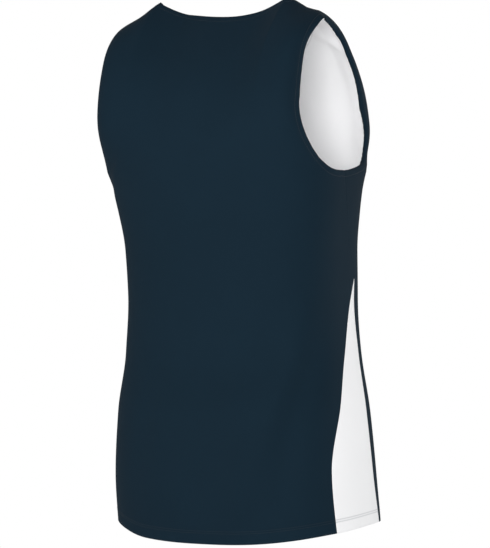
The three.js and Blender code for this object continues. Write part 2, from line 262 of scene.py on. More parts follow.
# Studio, in metres and watts. Each light stands this far from the jersey's middle: nearer to the
# camera, to its right and up.
MIDDLE_HEIGHT = -0.37
LIGHTS = [
    {"name": "front", "nearer": 3.2, "right": -0.2, "up": 0.14, "size": 0.8, "power": 58},
    {"name": "left", "nearer": 1.8, "right": -2.4, "up": 0, "size": 1.4, "power": 28},
    {"name": "right", "nearer": -0.9, "right": 2.8, "up": 0, "size": 1.4, "power": 32},
]
ROOM_LIGHT = 0.54
FLOOR_HEIGHT = -0.86
FLOOR_REACH = 30
FLOOR_SIDES = 96
FLOOR_GREY = 0.93
PURE_WHITE = (1, 1, 1, 1)


def mix(a, b, t):
    return a + (b - a) * t


def smooth(t):
    u = np.clip(t, 0, 1)
    return u * u * (3 - 2 * u)


def signed_power(value, power):
    return np.sign(value) * np.abs(value) ** power


# A curve that passes through a table's rows and never overshoots them
def curve_through(table, column):
    z = np.array([row["z"] for row in table], float)
    v = np.array([row[column] for row in table], float)
    step = np.diff(z)
    rise = np.diff(v) / step
    slope = np.zeros(len(z))
    slope[0], slope[-1] = rise[0], rise[-1]
    for i in range(1, len(z) - 1):
        if rise[i - 1] * rise[i] > 0:
            below = 2 * step[i] + step[i - 1]
            above = step[i] + 2 * step[i - 1]
            slope[i] = (below + above) / (below / rise[i - 1] + above / rise[i])

    def at(height):
        h = np.clip(height, z[0], z[-1])
        i = np.clip(np.searchsorted(z, h, side="right") - 1, 0, len(z) - 2)
        t = (h - z[i]) / step[i]
        start = v[i] * (1 + 2 * t) + step[i] * slope[i] * t
        end = v[i + 1] * (3 - 2 * t) + step[i] * slope[i + 1] * (t - 1)
        return start * (1 - t) ** 2 + end * t**2

    return at


half_width_at = curve_through(RINGS, "half_width")
side_y_at = curve_through(RINGS, "side_y")
back_depth_at = curve_through(RINGS, "back_depth")
front_depth_at = curve_through(RINGS, "front_depth")
back_seam_y_at = curve_through(SEAMS, "back_y")
front_seam_y_at = curve_through(SEAMS, "front_y")
back_roll_at = curve_through(ROLLS, "back")
front_roll_at = curve_through(ROLLS, "front")
roll_reach_at = curve_through(ROLLS, "reach")


def own_power(panel):
    return BACK_POWER if panel is BACK else FRONT_POWER


# A chart position past the side (p over 1) lies on the other half of the ring
def is_behind(panel, p):
    return (np.cos(math.pi * p / 2) >= 0) == (panel is BACK)


def hem_height(panel, p):
    sideways = np.sin(math.pi * p / 2) ** 2
    centre = np.where(is_behind(panel, p), 0, HEM_FRONT_RISE)
    return HEM_BACK_Z + mix(centre, HEM_SIDE_RISE, sideways)


def body_height(panel, p, q):
    return mix(hem_height(panel, p), CHEST_Z, 1 + np.minimum(q, 0))


def shoulder_ridge(x):
    out = (np.abs(x) - NECK_X) / (TIP_X - NECK_X)
    y = np.where(out > 0, TIP_Y * out, 0)
    sag = RIDGE_SAG * 4 * out * (1 - out)
    inner = NECK_Z + (NECK_X - np.sqrt(x**2 + RIDGE_ROUND**2)) * NECK_RISE
    z = np.where(out > 0, mix(NECK_Z, TIP_Z, out) - sag, inner)
    return y, z


def strap_pull(panel, name, x):
    reach = panel["strap_to_x"] - panel["strap_from_x"]
    strap = smooth((np.abs(x) - panel["strap_from_x"]) / reach)
    return mix(panel[name]["centre"], panel[name]["strap"], strap)


def fullness(panel, x, z, p):
    f = panel["fullness"]
    away = np.clip((z - f["z"]) / f["reach"], -1, 1)
    sideways = smooth((np.abs(x) - f["from_x"]) / f["width"]) * smooth((1 - p) / SIDE_FADE_P)
    return panel["side"] * f["depth"] * (1 - away**2) ** 2 * sideways


def oval_depth(across, power):
    return (1 - np.clip(np.abs(across), 0, 1) ** power) ** (1 / power)


def yoke_half_width(q):
    return mix(CHEST_HALF_WIDTH, YOKE_HALF_WIDTH, smooth(q / YOKE_Q))


def ring_point(panel, p, z):
    behind = is_behind(panel, p)
    power = np.where(behind, BACK_POWER, FRONT_POWER)
    depth = np.where(behind, back_depth_at(z), front_depth_at(z))
    x = half_width_at(z) * signed_power(np.sin(math.pi * p / 2), 2 / power)
    out = signed_power(np.cos(math.pi * p / 2), 2 / power)
    return x, side_y_at(z) + panel["side"] * depth * out


def across_shoulder(panel, p):
    here = own_power(panel)
    there = BACK_POWER + FRONT_POWER - here
    return 2 / math.pi * np.arcsin(signed_power(np.sin(math.pi * p / 2), there / here))


# The garment's outside. p runs from the centre line (0) to the side (1) and on past it.
# q runs from the hem (-1) through the chest ring (0) to the shoulder seam (1) and over it.
def form(panel, p, q):
    p, q = np.broadcast_arrays(np.asarray(p, float), np.asarray(q, float))
    points = np.zeros(p.shape + (3,))
    over = q > 1
    if over.any():
        other = FRONT if panel is BACK else BACK
        points[over] = form(other, across_shoulder(panel, p[over]), 2 - q[over])
    low = q <= 0
    if low.any():
        z = body_height(panel, p[low], q[low])
        x, y = ring_point(panel, p[low], z)
        y = y + fullness(panel, x, z, p[low])
        points[low] = np.stack([x, y, z], -1)
    high = ~low & ~over
    if high.any():
        points[high] = yoke_form(panel, p[high], q[high])
    return points


def yoke_form(panel, p, q):
    ring_x, ring_y = ring_point(panel, p, CHEST_Z)
    below_y = ring_point(panel, p, CHEST_Z - RING_PROBE)[1]
    lean = (ring_y - below_y) / RING_PROBE
    behind = is_behind(panel, p)
    power = np.where(behind, BACK_POWER, FRONT_POWER)
    depth = np.where(behind, back_depth_at(CHEST_Z), front_depth_at(CHEST_Z))
    across = ring_x / CHEST_HALF_WIDTH
    squarer = mix(power, YOKE_POWER, smooth(q / YOKE_Q))
    facing = np.sign(ring_y - CHEST_SIDE_Y)
    rim_y = CHEST_SIDE_Y + facing * depth * oval_depth(across, squarer)
    x = across * yoke_half_width(q)
    ridge_y, ridge_z = shoulder_ridge(x)
    rise = ridge_z - CHEST_Z
    lift = strap_pull(panel, "lift", x) * rise
    start = 3 * (1 - q) ** 2 * q
    end = 3 * (1 - q) * q**2
    end_y = mix(ridge_y, rim_y, strap_pull(panel, "end", x))
    y = (1 - q) ** 3 * rim_y + start * (rim_y + lean * lift) + end * end_y + q**3 * ridge_y
    z = CHEST_Z + start * lift + (end * ARCH_TOP + q**3) * rise
    return np.stack([x, y + fullness(panel, x, z, p), z], -1)


def outward_normal(panel, p, q):
    across = form(panel, p + PROBE, q) - form(panel, p - PROBE, q)
    upwards = form(panel, p, q + PROBE) - form(panel, p, np.maximum(q - PROBE, -1))
    normal = np.cross(across, upwards) * -panel["side"]
    return normal / np.linalg.norm(normal, axis=-1, keepdims=True)


# How far out a place in the yoke is, as a chart position and the other way round
def width_to_chart(panel, x, q):
    share = np.clip(x / yoke_half_width(q), 0, 1)
    return 2 / math.pi * np.arcsin(share ** (own_power(panel) / 2))


def chart_to_width(panel, p, q):
    return yoke_half_width(q) * np.sin(math.pi * p / 2) ** (2 / own_power(panel))


# Chart positions of the cut lines
def armhole_point(panel, q):
    down = 1 - np.clip(q / panel["arm_q"], 0, 1)
    power = panel.get("arm_power")
    scoop = (1 - down**power) ** (1 / power) if power else smooth(1 - down)
    lower = mix(CHEST_HALF_WIDTH, panel["arm_x"], scoop)
    upper = mix(panel["arm_x"], TIP_X, smooth((q - ARM_TOP_Q) / (1 - ARM_TOP_Q)))
    return width_to_chart(panel, np.where(q < panel["arm_q"], lower, upper), q), q


def neckline_point(panel, s):
    x = NECK_X * (1 - (1 - s) ** panel["neck_power"]) ** (1 / panel["neck_power"])
    q = mix(panel["neck_q"], 1, s)
    return width_to_chart(panel, x, q), q


# Where a depth on one of the body's rings lies in the back's chart
def depth_to_chart(z, y):
    side_y = side_y_at(z)
    behind = y > side_y
    depth = np.where(behind, back_depth_at(z), front_depth_at(z))
    share = np.clip(np.abs(y - side_y) / depth, 0, 1)
    power = np.where(behind, BACK_POWER, FRONT_POWER)
    p = 2 / math.pi * np.arccos(share ** (power / 2))
    return np.where(behind, p, 2 - p)


# The back or front side seam, or the middle between them, as p for each q
def side_line(panel, line, q):
    p = np.ones_like(q)
    for _ in range(SEAM_PASSES):
        z = body_height(panel, p, q)
        above = np.clip((z - APEX_Z) / (CHEST_Z - APEX_Z), 0, 1)
        plain = mix(SEAMS[-1]["back_y"], CHEST_SIDE_Y, above)
        lines = {
            "back": back_seam_y_at(z),
            "front": front_seam_y_at(z),
            "middle": (back_seam_y_at(z) + front_seam_y_at(z)) / 2,
        }
        on_back = depth_to_chart(z, np.where(z < APEX_Z, lines[line], plain))
        p = on_back if panel is BACK else 2 - on_back
    return p


# Moves a chart position some millimetres round the body
def slide(panel, p, q, distance):
    ahead = form(panel, p + SLIDE_PROBE, q) - form(panel, p - SLIDE_PROBE, q)
    return p + distance * 2 * SLIDE_PROBE / np.linalg.norm(ahead, axis=-1)


# The row of the chart that has a height, at the side of the body
def height_to_row(z):
    hem_side = HEM_BACK_Z + HEM_SIDE_RISE
    return (z - hem_side) / (CHEST_Z - hem_side) - 1


# Chart positions of half a panel, row by row from the hem to the shoulder seam. The lining runs on
# under the white insert to the middle of the side. The last item is where normals are taken.
def half_panel(panel, is_lining):
    seam = "back" if panel is BACK else "front"
    share = 1 - (1 - np.linspace(0, 1, HALF_COLUMNS + 1)) ** COLUMN_POWER
    rows_p, rows_q = [], []
    even_rows = np.linspace(-1, 0, BODY_STEPS + 1)
    body_q = np.unique(np.append(even_rows, height_to_row(APEX_Z)))
    edge = side_line(panel, seam, body_q)
    if is_lining:
        middle = side_line(panel, "middle", body_q)
        middle = slide(panel, middle, body_q, -SEAM_OPENING / 2)
        under = np.linspace(0, 1, UNDER_COLUMNS + 1)[1:]
        inner_edge = np.minimum(edge, middle)
    else:
        edge = slide(panel, edge, body_q, -SEAM_OPENING / 2)
    for i, q in enumerate(body_q):
        if is_lining:
            row = np.concatenate([inner_edge[i] * share, mix(inner_edge[i], middle[i], under)])
        else:
            row = edge[i] * share
        rows_p.append(row)
        rows_q.append(np.full_like(row, q))

    def add_row(inner_p, inner_q, arm_p, arm_q, even):
        q = mix(inner_q, arm_q, share)
        p = mix(inner_p, arm_p, share)
        inner_x = chart_to_width(panel, inner_p, inner_q)
        arm_x = chart_to_width(panel, arm_p, arm_q)
        p = mix(p, width_to_chart(panel, mix(inner_x, arm_x, share), q), even)
        if is_lining:
            p = np.concatenate([p, np.full(UNDER_COLUMNS, p[-1])])
            q = np.concatenate([q, np.full(UNDER_COLUMNS, q[-1])])
        rows_p.append(p)
        rows_q.append(q)

    arm_share = panel["neck_q"] * ARM_SHARE_BELOW_NECK
    for s in np.linspace(0, 1, YOKE_STEPS + 1)[1:]:
        low = s**ARM_ROW_POWER
        arm_p, arm_q = armhole_point(panel, arm_share * low)
        add_row(0.0, panel["neck_q"] * low, arm_p, arm_q, 0)
    for s in np.linspace(0, 1, STRAP_STEPS + 1)[1:]:
        high = s**NECK_ROW_POWER
        arm_p, arm_q = armhole_point(panel, mix(arm_share, 1, high))
        neck_p, neck_q = neckline_point(panel, high)
        add_row(neck_p, neck_q, arm_p, arm_q, high)
    p, q = np.array(rows_p), np.array(rows_q)
    at_seam, below_seam = form(panel, p[-1], 1.0), form(panel, p[-1], 1.0 - SLIDE_PROBE)
    step = np.linalg.norm(at_seam - below_seam, axis=-1)
    q[-1] = 1 - SEAM_OPENING / 2 * SLIDE_PROBE / step
    facing_q = q.copy()
    facing_q[-1] = 1
    return p, q, facing_q


# Chart positions of the white insert, between the two side seams
def insert_grid():
    body_q = np.linspace(-1, height_to_row(APEX_Z - INSERT_TOP_DROP), BODY_STEPS)
    back = slide(BACK, side_line(BACK, "back", body_q), body_q, SEAM_OPENING / 2)
    front = slide(BACK, side_line(BACK, "front", body_q), body_q, -SEAM_OPENING / 2)
    share = np.linspace(0, 1, INSERT_COLUMNS + 1)
    p = back[:, None] * (1 - share) + front[:, None] * share
    q = np.repeat(body_q[:, None], INSERT_COLUMNS + 1, 1)
    return p, q, q


# How far the cloth stands out of the form at a place, from the table of creases
def crease_height(points, normals):
    rise = np.zeros(len(points))
    facing = np.clip(np.abs(normals[:, 1]) * CREASE_FACING, 0, 1)
    for crease in CREASES:
        side = 1 if crease["face"] == "back" else -1
        start = np.array([crease["x0"], crease["z0"]], float)
        along = np.array([crease["x1"], crease["z1"]], float) - start
        length = np.linalg.norm(along)
        along /= length
        offset = points[:, [0, 2]] - start
        run = offset @ along / length
        wander = CREASE_WANDER * np.sin(run * CREASE_WAVES + crease["x0"])
        away = offset @ np.array([-along[1], along[0]]) + wander
        starting = smooth((run + CREASE_FADE) / (2 * CREASE_FADE))
        ending = smooth((1 + CREASE_FADE - run) / (2 * CREASE_FADE))
        here = facing * (normals[:, 1] * side > 0)
        section = np.exp(-((away / crease["width"]) ** 2))
        rise += crease["height"] * section * (starting * ending) * here
    return rise


def unit(vectors):
    return vectors / np.maximum(np.linalg.norm(vectors, axis=-1, keepdims=True), 1e-9)


# Distance of each place from the nearest of a line of points, and which point that is
def nearest(places, line_points):
    tree = kdtree.KDTree(len(line_points))
    for i, point in enumerate(line_points):
        tree.insert(Vector(point), i)
    tree.balance()
    found = [tree.find(Vector(place)) for place in places]
    return np.array([hit[2] for hit in found]), np.array([hit[1] for hit in found])


def both_sides(points):
    return np.concatenate([points, points * [-1, 1, 1]])


# Points along both armholes, and which way the cloth ends there
def armhole_rims():
    places, outward = [], []
    for panel in (BACK, FRONT):
        p, q = armhole_point(panel, EDGE_SAMPLES)
        edge = form(panel, p, q)
        ahead = unit(np.gradient(edge, axis=0))
        places.append(both_sides(edge))
        outward.append(both_sides(np.cross(outward_normal(panel, p, q), ahead) * panel["side"]))
    return np.concatenate(places), np.concatenate(outward)


def neck_rim():
    halves = [form(panel, *neckline_point(panel, EDGE_SAMPLES)) for panel in (BACK, FRONT)]
    return both_sides(np.concatenate(halves))


# Turns the cloth in along the armholes as round a roller, so that it keeps its length
def roll_in(points, normals):
    from_rim, rim = nearest(points, armhole_places)
    reach = roll_reach_at(points[:, 2])
    past = np.clip(reach - from_rim, 0, None)[:, None]
    forward = smooth((BACK_ROLL_TO_Y - points[:, 1]) / (BACK_ROLL_TO_Y - FRONT_ROLL_FROM_Y))
    degrees = mix(back_roll_at(points[:, 2]), front_roll_at(points[:, 2]), forward)
    radius = (reach / np.radians(degrees))[:, None]
    turn = past / radius
    outward = armhole_outward[rim]
    inwards = normals * radius * (1 - np.cos(turn))
    rolled = points - inwards - outward * (past - radius * np.sin(turn))
    return rolled, unit(normals * np.cos(turn) + outward * np.sin(turn))


def hang_unevenly(points):
    for hang in HANGS:
        share = 1.0
        for axis, no_move, full_move in hang["fades"]:
            share = share * smooth((points[:, AXES[axis]] - no_move) / (full_move - no_move))
        points[:, AXES[hang["axis"]]] += hang["move"] * share
    return points


# Points and normals of a sheet, and how far each point is from the open edges and from the hem
def sheet_points(panel, p, q, facing_q, mirror):
    laid = form(panel, p, q)
    points = laid.reshape(-1, 3) * [mirror, 1, 1]
    normals = outward_normal(panel, p, facing_q).reshape(-1, 3) * [mirror, 1, 1]
    from_hem = np.where(q <= 0, laid[..., 2] - hem_height(panel, p), FAR_FROM_HEM).ravel()
    from_edge = nearest(points, np.concatenate([armhole_places, neck_places]))[0]
    points, normals = roll_in(points, normals)
    return hang_unevenly(points), normals, np.stack([from_edge, from_hem], -1)


def grid_faces(rows, columns, first, clockwise):
    a = first + np.arange(rows - 1)[:, None] * columns + np.arange(columns - 1)[None, :]
    a = a.ravel()
    quads = np.stack([a, a + columns, a + columns + 1, a + 1], -1)
    return quads[:, ::-1] if clockwise else quads


# A sheet is points, outward normals, quads, each point's place on the flat cut, and its marks: how
# far it is from the open edges and from the hem
def make_sheet(grids):
    points, normals, quads, flats, marks = [], [], [], [], []
    first = 0
    for panel, p, q, facing_q, mirror in grids:
        some, facing, distances = sheet_points(panel, p, q, facing_q, mirror)
        rows, columns = p.shape
        quads.append(grid_faces(rows, columns, first, mirror * panel["side"] < 0))
        laid = some.reshape(rows, columns, 3)
        across = np.linalg.norm(np.diff(laid, axis=1), axis=-1).cumsum(1)
        across = np.concatenate([np.zeros((rows, 1)), across], 1)
        start = np.abs(laid[:, :1, 0])
        up = np.linalg.norm(np.diff(laid, axis=0), axis=-1).cumsum(0)
        up = np.concatenate([np.zeros((1, columns)), up], 0)
        flats.append(np.stack([(across + start) * mirror, up], -1).reshape(-1, 2))
        points.append(some)
        normals.append(facing)
        marks.append(distances)
        first += len(some)
    per_point = {"points": points, "normals": normals, "flats": flats, "marks": marks}
    per_point = {name: np.concatenate(values) for name, values in per_point.items()}
    sheet = weld(per_point, np.concatenate(quads))
    rise = crease_height(sheet["points"], sheet["normals"])
    sheet["points"] = sheet["points"] + sheet["normals"] * rise[:, None]
    return sheet


# Joins points that lie in one place, to a step of WELDS_PER_MM, and drops quads with no area left
def weld(per_point, quads):
    keys = np.round(per_point["points"] * WELDS_PER_MM).astype(np.int64)
    first, renumber = np.unique(keys, axis=0, return_index=True, return_inverse=True)[1:]
    quads = renumber.ravel()[quads]
    kept = np.array([len(set(quad)) >= 3 for quad in quads.tolist()])
    sheet = {name: values[first] for name, values in per_point.items()}
    sheet["quads"] = quads[kept]
    return sheet


# Edges that only one face uses
def boundary_edges(quads):
    count = int(quads.max()) + 1
    a, b = quads.ravel(), np.roll(quads, -1, axis=1).ravel()
    real = a != b
    a, b = a[real], b[real]
    missing = ~np.isin(a.astype(np.int64) * count + b, b.astype(np.int64) * count + a)
    return np.stack([a[missing], b[missing]], -1)


# Which way each point on a free edge faces, in the plane of the cloth
def edge_outward(points, normals, edges):
    ahead = points[edges[:, 1]] - points[edges[:, 0]]
    out = unit(np.cross(ahead, normals[edges[:, 0]] + normals[edges[:, 1]]))
    total = np.zeros_like(points)
    np.add.at(total, edges[:, 0], out)
    np.add.at(total, edges[:, 1], out)
    return unit(total)


# A closed thin shell of cloth under a sheet, with every free edge rounded over
def cloth_object(name, sheet, depth, material):
    points, normals, quads = sheet["points"], sheet["normals"], sheet["quads"]
    count = len(points)
    edges = boundary_edges(quads)
    outward = edge_outward(points, normals, edges)
    rim = np.unique(edges)
    place = np.full(count, -1)
    place[rim] = np.arange(len(rim))
    layers = [points - normals * depth, points - normals * (depth + CLOTH_THICK)]
    for turn in (math.pi / 4, math.pi / 2, 3 * math.pi / 4):
        under = depth + CLOTH_THICK / 2 * (1 - math.cos(turn))
        out = EDGE_ROUND * math.sin(turn)
        layers.append(points[rim] - normals[rim] * under + outward[rim] * out)
    vertices = np.concatenate(layers) / MM_PER_METRE
    faces = quads.tolist() + (quads[:, ::-1] + count).tolist()
    a, b = edges[:, 0], edges[:, 1]
    start = [2 * count + place + k * len(rim) for k in range(3)]
    bands = [np.arange(count), start[0], start[1], start[2], np.arange(count) + count]
    for upper, lower in zip(bands[:-1], bands[1:]):
        faces += np.stack([upper[b], upper[a], lower[a], lower[b]], -1).tolist()
    faces = [list(dict.fromkeys(face)) for face in faces]
    mesh = bpy.data.meshes.new(name)
    mesh.from_pydata(vertices.tolist(), [], faces)
    mesh.materials.append(material)
    source = np.concatenate([np.arange(count), np.arange(count), rim, rim, rim])
    add_cut_map(mesh, sheet["flats"][source])
    for column, mark in enumerate(("edge_mm", "hem_mm")):
        attribute = mesh.attributes.new(mark, "FLOAT", "POINT")
        attribute.data.foreach_set("value", sheet["marks"][source, column].astype(np.float32))
    mesh.shade_smooth()
    piece = bpy.data.objects.new(name, mesh)
    bpy.context.scene.collection.objects.link(piece)
    return piece


# Each corner's place on the flat cut, in metres, for the knit
def add_cut_map(mesh, flats):
    layer = mesh.uv_layers.new(name="cut")
    corners = np.zeros(len(mesh.loops), np.int32)
    mesh.loops.foreach_get("vertex_index", corners)
    places = flats[corners] / MM_PER_METRE
    layer.data.foreach_set("uv", places.astype(np.float32).ravel())


# The line on a sheet where a mark has one value, as points joined by short edges
def line_at(sheet, depth, column, value):
    quads, mark = sheet["quads"], sheet["marks"][:, column]
    places = sheet["points"] - sheet["normals"] * depth
    starts = np.concatenate([quads[:, [0, 1, 2]], quads[:, [0, 2, 3]]])
    ends = np.roll(starts, -1, axis=1)
    crosses = (mark[starts] > value) != (mark[ends] > value)
    crosses &= (crosses.sum(1) == 2)[:, None]
    low, high = np.minimum(starts, ends)[crosses], np.maximum(starts, ends)[crosses]
    keys = low.astype(np.int64) * len(places) + high
    first, number = np.unique(keys, return_index=True, return_inverse=True)[1:]
    low, high = low[first], high[first]
    share = (value - mark[low]) / (mark[high] - mark[low])
    pairs = number.reshape(-1, 2)
    return mix(places[low], places[high], share[:, None]), pairs[pairs[:, 0] != pairs[:, 1]]


# Stitches along any line: one small thread bead for each step of the machine
def stitching_tree():
    tree = bpy.data.node_groups.new("stitching", "GeometryNodeTree")
    face = tree.interface
    face.new_socket("Geometry", in_out="INPUT", socket_type="NodeSocketGeometry")
    for size in ("Stitch length", "Thread width", "Pitch"):
        face.new_socket(size, in_out="INPUT", socket_type="NodeSocketFloat")
    face.new_socket("Thread", in_out="INPUT", socket_type="NodeSocketMaterial")
    face.new_socket("Geometry", in_out="OUTPUT", socket_type="NodeSocketGeometry")
    given = tree.nodes.new("NodeGroupInput")
    result = tree.nodes.new("NodeGroupOutput")
    curve = tree.nodes.new("GeometryNodeMeshToCurve")
    steps = tree.nodes.new("GeometryNodeCurveToPoints")
    steps.mode = "LENGTH"
    bead = tree.nodes.new("GeometryNodeMeshUVSphere")
    bead.inputs["Segments"].default_value = BEAD_SEGMENTS
    bead.inputs["Rings"].default_value = BEAD_RINGS
    # one across, so that the scale below is its size
    bead.inputs["Radius"].default_value = 0.5
    size = tree.nodes.new("ShaderNodeCombineXYZ")
    placed = tree.nodes.new("GeometryNodeInstanceOnPoints")
    real = tree.nodes.new("GeometryNodeRealizeInstances")
    finish = tree.nodes.new("GeometryNodeSetMaterial")
    link = tree.links.new
    link(given.outputs["Geometry"], curve.inputs["Mesh"])
    link(curve.outputs["Curve"], steps.inputs["Curve"])
    link(given.outputs["Pitch"], steps.inputs["Length"])
    link(given.outputs["Thread width"], size.inputs["X"])
    link(given.outputs["Thread width"], size.inputs["Y"])
    link(given.outputs["Stitch length"], size.inputs["Z"])
    link(steps.outputs["Points"], placed.inputs["Points"])
    link(steps.outputs["Rotation"], placed.inputs["Rotation"])
    link(bead.outputs["Mesh"], placed.inputs["Instance"])
    link(size.outputs["Vector"], placed.inputs["Scale"])
    link(placed.outputs["Instances"], real.inputs["Geometry"])
    link(real.outputs["Geometry"], finish.inputs["Geometry"])
    link(given.outputs["Thread"], finish.inputs["Material"])
    link(finish.outputs["Geometry"], result.inputs["Geometry"])
    return tree


# A sheet's sewing, on its outer face
def stitched_lines(name, sheet, depth, thread):
    points, edges, first = [], [], 0
    rows = [(0, TOPSTITCH_IN)] + [(1, up) for up in HEM_ROWS_UP]
    for column, value in rows:
        some, pairs = line_at(sheet, depth, column, value)
        points.append(some)
        edges.append(pairs + first)
        first += len(some)
    mesh = bpy.data.meshes.new(name)
    vertices = np.concatenate(points) / MM_PER_METRE
    mesh.from_pydata(vertices.tolist(), np.concatenate(edges).tolist(), [])
    piece = bpy.data.objects.new(name, mesh)
    bpy.context.scene.collection.objects.link(piece)
    modifier = piece.modifiers.new("stitching", "NODES")
    modifier.node_group = STITCHING
    given = {
        "Stitch length": STITCH_LENGTH / MM_PER_METRE,
        "Thread width": STITCH_WIDTH / MM_PER_METRE,
        "Pitch": STITCH_PITCH / MM_PER_METRE,
        "Thread": thread,
    }
    for socket in STITCHING.interface.items_tree:
        if socket.in_out == "INPUT" and socket.name in given:
            modifier[socket.identifier] = given[socket.name]
    graph = bpy.context.evaluated_depsgraph_get()
    sewn = bpy.data.meshes.new_from_object(piece.evaluated_get(graph), depsgraph=graph)
    piece.modifiers.clear()
    piece.data = sewn
    sewn.shade_smooth()
    return piece


# A colour as light, from red, green and blue of 0 to 255 as a screen shows them
def linear(red, green, blue):
    def one(value):
        v = value / 255
        return v / 12.92 if v <= 0.04045 else ((v + 0.055) / 1.055) ** 2.4

    return (one(red), one(green), one(blue), 1)


def math_node(tree, operation, first, second=None, third=None):
    node = tree.nodes.new("ShaderNodeMath")
    node.operation = operation
    for i, value in enumerate((first, second, third)):
        if value is None:
            continue
        if isinstance(value, (int, float)):
            node.inputs[i].default_value = value
        else:
            tree.links.new(value, node.inputs[i])
    return node.outputs[0]


def noise(tree, where, scale, detail):
    texture = tree.nodes.new("ShaderNodeTexNoise")
    texture.inputs["Scale"].default_value = scale
    texture.inputs["Detail"].default_value = detail
    tree.links.new(where.outputs["Object"], texture.inputs["Vector"])
    return texture.outputs[0]


# Rows of small loops: a height and a shade for any knit
def knit_group():
    group = bpy.data.node_groups.new("knit loops", "ShaderNodeTree")
    face = group.interface
    face.new_socket("Wales per metre", in_out="INPUT", socket_type="NodeSocketFloat")
    face.new_socket("Courses per metre", in_out="INPUT", socket_type="NodeSocketFloat")
    face.new_socket("Height", in_out="OUTPUT", socket_type="NodeSocketFloat")
    face.new_socket("Shade", in_out="OUTPUT", socket_type="NodeSocketFloat")
    given = group.nodes.new("NodeGroupInput")
    result = group.nodes.new("NodeGroupOutput")
    cut = group.nodes.new("ShaderNodeUVMap")
    cut.uv_map = "cut"
    split = group.nodes.new("ShaderNodeSeparateXYZ")
    group.links.new(cut.outputs[0], split.inputs[0])
    wale = math_node(group, "MULTIPLY", split.outputs[0], given.outputs[0])
    course = math_node(group, "MULTIPLY", split.outputs[1], given.outputs[1])
    # each loop leans one way on the left of its wale and the other way on the right
    inside = math_node(group, "PINGPONG", wale, 0.5)
    lean = math_node(group, "MULTIPLY", inside, LOOP_LEAN)
    rows = math_node(group, "PINGPONG", math_node(group, "ADD", course, lean), 0.5)
    loops = math_node(group, "MULTIPLY", math_node(group, "MULTIPLY", rows, 2), LOOP_HEIGHT)
    rounded = math_node(group, "SMOOTH_MIN", inside, WALE_TOP, WALE_ROUND)
    wales = math_node(group, "MULTIPLY", rounded, WALE_HEIGHT)
    group.links.new(math_node(group, "ADD", loops, wales), result.inputs[0])
    # the yarn's shade drifts a little from place to place
    where = group.nodes.new("ShaderNodeTexCoord")
    drift = noise(group, where, YARN_DRIFT["scale"], YARN_DRIFT["detail"])
    grain = noise(group, where, YARN_GRAIN["scale"], YARN_GRAIN["detail"])
    shade = math_node(
        group,
        "ADD",
        math_node(group, "MULTIPLY", drift, YARN_DRIFT["share"]),
        math_node(group, "MULTIPLY", grain, YARN_GRAIN["share"]),
    )
    group.links.new(shade, result.inputs[1])
    return group


# A sewn line: 1 on the line, and less to both sides of it
def sewn_line_group():
    group = bpy.data.node_groups.new("sewn line", "ShaderNodeTree")
    face = group.interface
    face.new_socket("Distance", in_out="INPUT", socket_type="NodeSocketFloat")
    face.new_socket("Line at", in_out="INPUT", socket_type="NodeSocketFloat")
    face.new_socket("Width", in_out="INPUT", socket_type="NodeSocketFloat")
    face.new_socket("Groove", in_out="OUTPUT", socket_type="NodeSocketFloat")
    given = group.nodes.new("NodeGroupInput")
    result = group.nodes.new("NodeGroupOutput")
    beside = math_node(group, "SUBTRACT", given.outputs[0], given.outputs[1])
    away = math_node(group, "DIVIDE", beside, given.outputs[2])
    squared = math_node(group, "MULTIPLY", away, away)
    groove = math_node(group, "EXPONENT", math_node(group, "MULTIPLY", squared, -1))
    group.links.new(groove, result.inputs[0])
    return group


KNIT = knit_group()
SEWN_LINE = sewn_line_group()


# A colour that goes from one to another as a factor goes from 0 to 1
def blend(tree, factor, low, high):
    mixer = tree.nodes.new("ShaderNodeMix")
    mixer.data_type = "RGBA"
    mixer.inputs["B"].default_value = high
    if isinstance(low, tuple):
        mixer.inputs["A"].default_value = low
    else:
        tree.links.new(low, mixer.inputs["A"])
    tree.links.new(factor, mixer.inputs["Factor"])
    return mixer.outputs["Result"]


def cloth_material(name, colour, shadow_colour, groove_shade_colour, bump):
    material = bpy.data.materials.new(name)
    material.use_nodes = True
    tree = material.node_tree
    shader = tree.nodes["Principled BSDF"]
    shader.inputs["Roughness"].default_value = CLOTH_ROUGHNESS
    shader.inputs["Specular IOR Level"].default_value = CLOTH_SHINE
    knit = tree.nodes.new("ShaderNodeGroup")
    knit.node_tree = KNIT
    knit.inputs[0].default_value = WALES_PER_METRE
    knit.inputs[1].default_value = COURSES_PER_METRE
    # Painted shade: each loop's hollow is painted darker than its crest, from the loops' height,
    # over the yarn's own tone that drifts at random
    loops = math_node(tree, "MULTIPLY", knit.outputs[0], LOOP_PAINTED_SHADE)
    yarn = math_node(tree, "MULTIPLY", knit.outputs[1], YARN_LIGHT)
    light = math_node(tree, "MINIMUM", math_node(tree, "ADD", loops, yarn), 1.0)
    height = math_node(tree, "MULTIPLY", knit.outputs[0], KNIT_RELIEF)
    line_shade_mask = None
    for sewn in SEWN_LINES:
        distance = tree.nodes.new("ShaderNodeAttribute")
        distance.attribute_name = sewn["mark"]
        line = tree.nodes.new("ShaderNodeGroup")
        line.node_tree = SEWN_LINE
        line.inputs[1].default_value = sewn["at"]
        line.inputs[2].default_value = sewn["width"]
        tree.links.new(distance.outputs["Fac"], line.inputs[0])
        groove = math_node(tree, "MULTIPLY", line.outputs[0], -sewn["depth"])
        height = math_node(tree, "ADD", height, groove)
        if line_shade_mask:
            line_shade_mask = math_node(tree, "MAXIMUM", line.outputs[0], line_shade_mask)
        else:
            line_shade_mask = line.outputs[0]
    shade = blend(tree, light, shadow_colour, colour)
    # Along every sewn line the colour is painted darker still, as shade in its groove
    tree.links.new(blend(tree, line_shade_mask, shade, groove_shade_colour), shader.inputs["Base Color"])
    relief = tree.nodes.new("ShaderNodeBump")
    relief.inputs["Strength"].default_value = bump
    relief.inputs["Distance"].default_value = 1.0
    tree.links.new(height, relief.inputs["Height"])
    tree.links.new(relief.outputs["Normal"], shader.inputs["Normal"])
    return material


